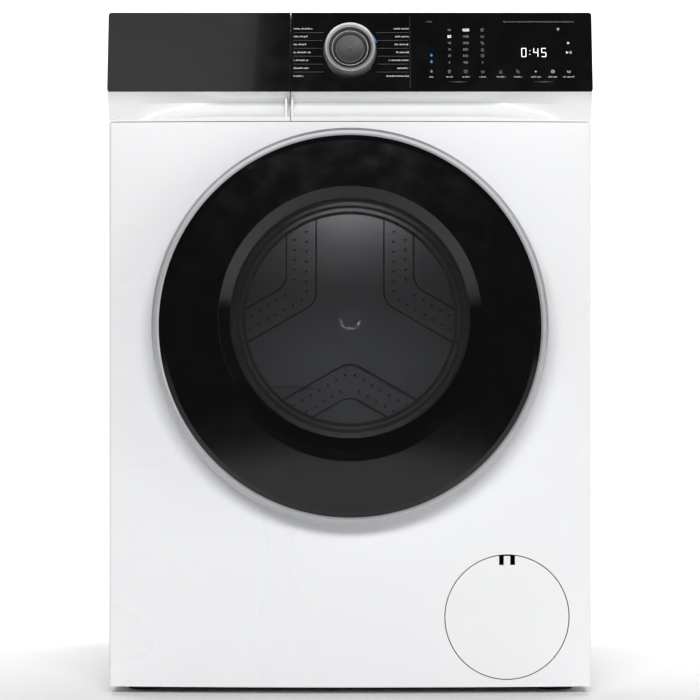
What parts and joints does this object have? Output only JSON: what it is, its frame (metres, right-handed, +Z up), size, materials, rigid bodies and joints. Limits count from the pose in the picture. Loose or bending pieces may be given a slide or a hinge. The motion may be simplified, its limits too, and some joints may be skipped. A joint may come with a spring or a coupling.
{
  "type": "washing machine",
  "caption": "Front-loading washing machine with a round glazed door, detergent drawer, central selector, sprung tub with belt-driven drum, drain filter flap and levelling feet.",
  "frame": {"origin": "on the floor, at the centre of the overall width and the overall depth", "axes": "+Z up, +X to the machine's right seen from the front, the front faces -Y"},
  "size_m": [0.598, 0.632, 0.845],
  "materials": {
    "white_steel": "satin",
    "white_plastic": "satin",
    "white_board": "satin",
    "black_gloss": "gloss",
    "dark_plastic": "matte",
    "grey_plastic": "satin",
    "blue_plastic": "satin",
    "silver_plastic": "satin",
    "smoked_glass": "polished",
    "clear_glass": "polished",
    "grey_rubber": "matte",
    "black_rubber": "matte",
    "grey_hose": "satin",
    "zinc_steel": "satin",
    "stainless": "satin",
    "light_plastic": "satin",
    "tub_plastic": "matte",
    "concrete": "matte",
    "cast_alloy": "satin",
    "motor_metal": "matte",
    "circuit_board": "satin",
    "valve_plastic": "satin"
  },
  "bodies": {
    "root": {"side_panel_left": "white_steel", "side_panel_right": "white_steel", "rear_panel": "white_steel", "front_panel": "white_steel", "top_cover": "white_board", "base_tray": "dark_plastic", "cross_braces": "zinc_steel", "foot_lock_nuts": "zinc_steel", "transport_caps": "dark_plastic", "cabinet_screws": "zinc_steel", "control_panel": "white_plastic", "panel_face": "black_gloss", "control_board": "circuit_board", "dispenser_housing": "grey_plastic", "inlet_valve": "valve_plastic", "inlet_hose": "black_rubber", "dispenser_hose": "black_rubber", "mains_gland": "dark_plastic", "door_lock": "dark_plastic", "door_gasket": "grey_rubber", "hinge_bracket": "zinc_steel", "drain_pump": "grey_plastic", "drain_hose": "grey_hose", "sump_hose": "black_rubber", "suspension_springs": "zinc_steel", "damper_tubes": "zinc_steel"},
    "door": {"door_ring": "silver_plastic", "door_cover": "black_gloss", "door_window": "smoked_glass", "door_bowl": "clear_glass", "door_inner_frame": "grey_plastic", "door_hinge": "zinc_steel"},
    "handle": {"door_handle": "dark_plastic"},
    "hook": {"latch_hook": "zinc_steel"},
    "drawer": {"drawer_face": "black_gloss", "drawer_front": "white_plastic", "drawer_tray": "grey_plastic", "siphon_cover": "blue_plastic"},
    "selector": {"selector_ring": "silver_plastic", "selector_dial": "dark_plastic"},
    "power": {"power_button": "dark_plastic"},
    "flap": {"service_flap": "white_plastic"},
    "filter": {"drain_filter": "blue_plastic"},
    "tub": {"tub_front": "tub_plastic", "tub_rear": "tub_plastic", "counterweights": "concrete", "heater": "zinc_steel", "bearings": "zinc_steel", "motor_housing": "motor_metal", "drive_belt": "black_rubber", "damper_rods": "zinc_steel"},
    "drum_unit": {"drum": "stainless", "drum_paddles": "light_plastic", "drum_spider": "cast_alloy", "drum_pulley": "cast_alloy"},
    "motor_rotor": {"motor_pulley": "zinc_steel"},
    "foot_fl": {"foot_front_left": "black_rubber"},
    "foot_fr": {"foot_front_right": "black_rubber"},
    "foot_rl": {"foot_rear_left": "black_rubber"},
    "foot_rr": {"foot_rear_right": "black_rubber"}
  },
  "joints": [
    {"name": "door_swing", "type": "hinge", "parent": "root", "child": "door", "pos_m": [-0.223, -0.297, 0.45595], "axis": [0, 0, -1], "range_deg": [0, 160]},
    {"name": "handle_pull", "type": "hinge", "parent": "door", "child": "handle", "pos_m": [0.213, -0.287, 0.45595], "axis": [0, 0, -1], "range_deg": [0, 10], "stiffness_Nm_per_rad": 3},
    {"name": "hook_turn", "type": "hinge", "parent": "door", "child": "hook", "pos_m": [0.218, -0.27825, 0.45595], "axis": [0, 0, 1], "range_deg": [0, 10]},
    {"name": "drawer_slide", "type": "slide", "parent": "root", "child": "drawer", "axis": [0, -1, 0], "range_m": [0, 0.2]},
    {"name": "selector_turn", "type": "hinge", "parent": "root", "child": "selector", "pos_m": [0, -0.27412, 0.797], "axis": [0, -0.9797, 0.2004], "continuous": true},
    {"name": "power_press", "type": "slide", "parent": "root", "child": "power", "axis": [0, 0.9797, -0.2004], "range_m": [0, 0.0015], "stiffness_N_per_m": 900, "springref_m": -0.001},
    {"name": "flap_open", "type": "hinge", "parent": "root", "child": "flap", "pos_m": [0.1944, -0.26648, 0.0249], "axis": [0.9989, 0.0465, 0], "range_deg": [0, 70]},
    {"name": "filter_turn", "type": "hinge", "parent": "root", "child": "filter", "pos_m": [0.1944, -0.2353, 0.0964], "axis": [0, -1, 0], "range_deg": [0, 180]},
    {"name": "tub_float", "type": "slide", "parent": "root", "child": "tub", "axis": [0, 0, 1], "range_m": [-0.008, 0.008], "stiffness_N_per_m": 12000, "springref_m": 0.02445, "deforming": ["suspension_springs", "door_gasket", "dispenser_hose", "sump_hose"]},
    {"name": "drum_spin", "type": "hinge", "parent": "tub", "child": "drum_unit", "pos_m": [0, 0, 0.46625], "axis": [0, 1, 0], "continuous": true},
    {"name": "motor_spin", "type": "hinge", "parent": "tub", "child": "motor_rotor", "pos_m": [0.04, 0, 0.13728], "axis": [0, 1, 0], "continuous": true},
    {"name": "foot_front_left_screw", "type": "slide", "parent": "root", "child": "foot_fl", "axis": [0, 0, -1], "range_m": [0, 0.015]},
    {"name": "foot_front_right_screw", "type": "slide", "parent": "root", "child": "foot_fr", "axis": [0, 0, -1], "range_m": [0, 0.015]},
    {"name": "foot_rear_left_screw", "type": "slide", "parent": "root", "child": "foot_rl", "axis": [0, 0, -1], "range_m": [0, 0.015]},
    {"name": "foot_rear_right_screw", "type": "slide", "parent": "root", "child": "foot_rr", "axis": [0, 0, -1], "range_m": [0, 0.015]}
  ],
  "couplings": [
    {"joint": "hook_turn", "follows": "handle_pull", "ratio": 1},
    {"joint": "motor_spin", "follows": "drum_spin", "ratio": 15.263}
  ]
}
